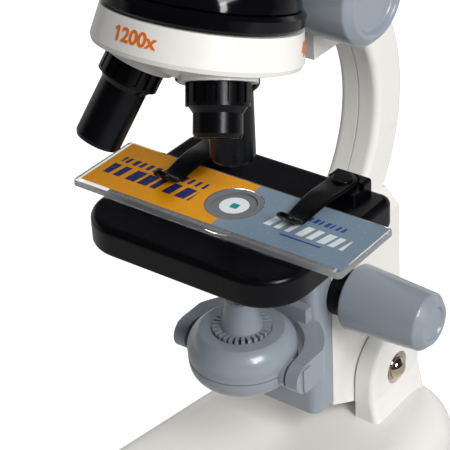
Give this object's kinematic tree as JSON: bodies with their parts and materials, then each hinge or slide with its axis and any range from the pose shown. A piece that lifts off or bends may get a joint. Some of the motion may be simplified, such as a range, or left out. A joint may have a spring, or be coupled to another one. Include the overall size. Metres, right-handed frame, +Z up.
{
  "type": "toy microscope",
  "caption": "Upright toy microscope with tilting arm, rack focus knobs, tilted lens turret, clipped stage with specimen slide and a lamp drum that flips over to a mirror",
  "frame": {"origin": "middle of the base footprint on the table", "axes": "+Z up, +Y from the stage towards the arm, +X to the right as the user looks from the front"},
  "size_m": [0.0872, 0.115, 0.228],
  "materials": {
    "white_shell": "smooth moulded warm white, soft gloss",
    "white_gear": "moulded natural white",
    "black_gloss": "smooth moulded black, high gloss",
    "black_satin": "smooth moulded black, satin",
    "grey_plastic": "smooth moulded blue-grey, soft gloss",
    "steel": "turned and plated",
    "nickel": "bright nickel plating",
    "rubber_foot": "matt",
    "lens_glass": "polished",
    "clear_slide": "clear sheet with a two-colour label under it",
    "white_disc": "white",
    "led_epoxy": "clear moulded",
    "board": "solder-resist green",
    "mirror": "silvered"
  },
  "bodies": {
    "base": {"base_shell": "white_shell", "base_plate": "black_satin", "base_weight": "steel", "base_feet": "rubber_foot", "base_screws": "steel", "hinge_bolt": "nickel", "hinge_nut": "nickel"},
    "arm": {"arm_left_half": "white_shell", "arm_right_half": "white_shell", "arm_screws": "steel", "fine_bushes": "black_satin"},
    "coarse_drive": {"coarse_shaft": "steel", "coarse_pinion": "white_gear", "coarse_knob_left": "grey_plastic", "coarse_knob_right": "grey_plastic"},
    "head": {"head_shell": "black_gloss", "head_slider": "black_satin", "head_rack": "white_gear", "slider_screws": "steel", "eyepiece_tube": "black_gloss", "eyepiece_body": "black_satin", "eye_lens": "lens_glass", "field_lens": "lens_glass", "turret_pin": "steel", "detent_ball": "steel", "detent_spring": "steel"},
    "turret": {"turret_body": "white_shell", "objective_long": "black_satin", "objective_mid": "black_satin", "objective_short": "black_satin", "objective_lenses": "lens_glass"},
    "fine_drive": {"fine_shaft": "steel", "fine_pinion": "white_gear", "fine_knob_left": "grey_plastic", "fine_knob_right": "grey_plastic"},
    "carriage": {"stage_plate": "black_satin", "carriage_upper": "grey_plastic", "carriage_lower": "grey_plastic", "stage_rack": "white_gear", "carriage_screws": "steel", "stage_screws": "steel", "lamp_yoke": "grey_plastic"},
    "clip_left_swing": {"clip_left": "black_satin", "clip_rivet_left": "black_satin"},
    "clip_right_swing": {"clip_right": "black_satin", "clip_rivet_right": "black_satin"},
    "slide": {"specimen_slide": "clear_slide", "specimen_ring": "grey_plastic", "specimen_disc": "white_disc"},
    "lamp": {"lamp_housing_upper": "grey_plastic", "lamp_housing_lower": "grey_plastic", "lamp_cone": "grey_plastic", "lamp_led": "led_epoxy", "lamp_board": "board", "lamp_cell": "steel", "lamp_mirror": "mirror"}
  },
  "joints": [
    {"name": "arm_tilt", "type": "hinge", "parent": "base", "child": "arm", "pos_m": [0, 0.0388, 0.0362], "axis": [-1, 0, 0], "range_deg": [0, 45]},
    {"name": "coarse_turn", "type": "hinge", "parent": "arm", "child": "coarse_drive", "pos_m": [0, 0.018, 0.1535], "axis": [-1, 0, 0], "range_deg": [-100.4, 114.8]},
    {"name": "head_travel", "type": "slide", "parent": "arm", "child": "head", "axis": [0, 0, 1], "range_m": [-0.007, 0.008]},
    {"name": "turret_spin", "type": "hinge", "parent": "head", "child": "turret", "pos_m": [0, -0.01521, 0.15725], "axis": [0, 0.313, 0.9498], "continuous": true},
    {"name": "fine_turn", "type": "hinge", "parent": "arm", "child": "fine_drive", "pos_m": [0, 0.0211, 0.0688], "axis": [-1, 0, 0], "range_deg": [-82, 49.3]},
    {"name": "stage_travel", "type": "slide", "parent": "arm", "child": "carriage", "axis": [0, 0, 1], "range_m": [-0.005, 0.003]},
    {"name": "clip_left_turn", "type": "hinge", "parent": "carriage", "child": "clip_left_swing", "pos_m": [-0.018, 0.0109, 0.108], "axis": [0, 0, -1], "range_deg": [-18, 30]},
    {"name": "clip_right_turn", "type": "hinge", "parent": "carriage", "child": "clip_right_swing", "pos_m": [0.018, 0.0109, 0.108], "axis": [0, 0, 1], "range_deg": [-18, 30]},
    {"name": "slide_shift", "type": "slide", "parent": "carriage", "child": "slide", "axis": [1, 0, 0], "range_m": [-0.01, 0.01]},
    {"name": "lamp_flip", "type": "hinge", "parent": "carriage", "child": "lamp", "pos_m": [0, -0.007, 0.0625], "axis": [1, 0, 0], "range_deg": [0, 180]}
  ],
  "couplings": [
    {"joint": "coarse_turn", "follows": "head_travel", "rad_per_m": 250},
    {"joint": "fine_turn", "follows": "stage_travel", "rad_per_m": 285.71}
  ]
}
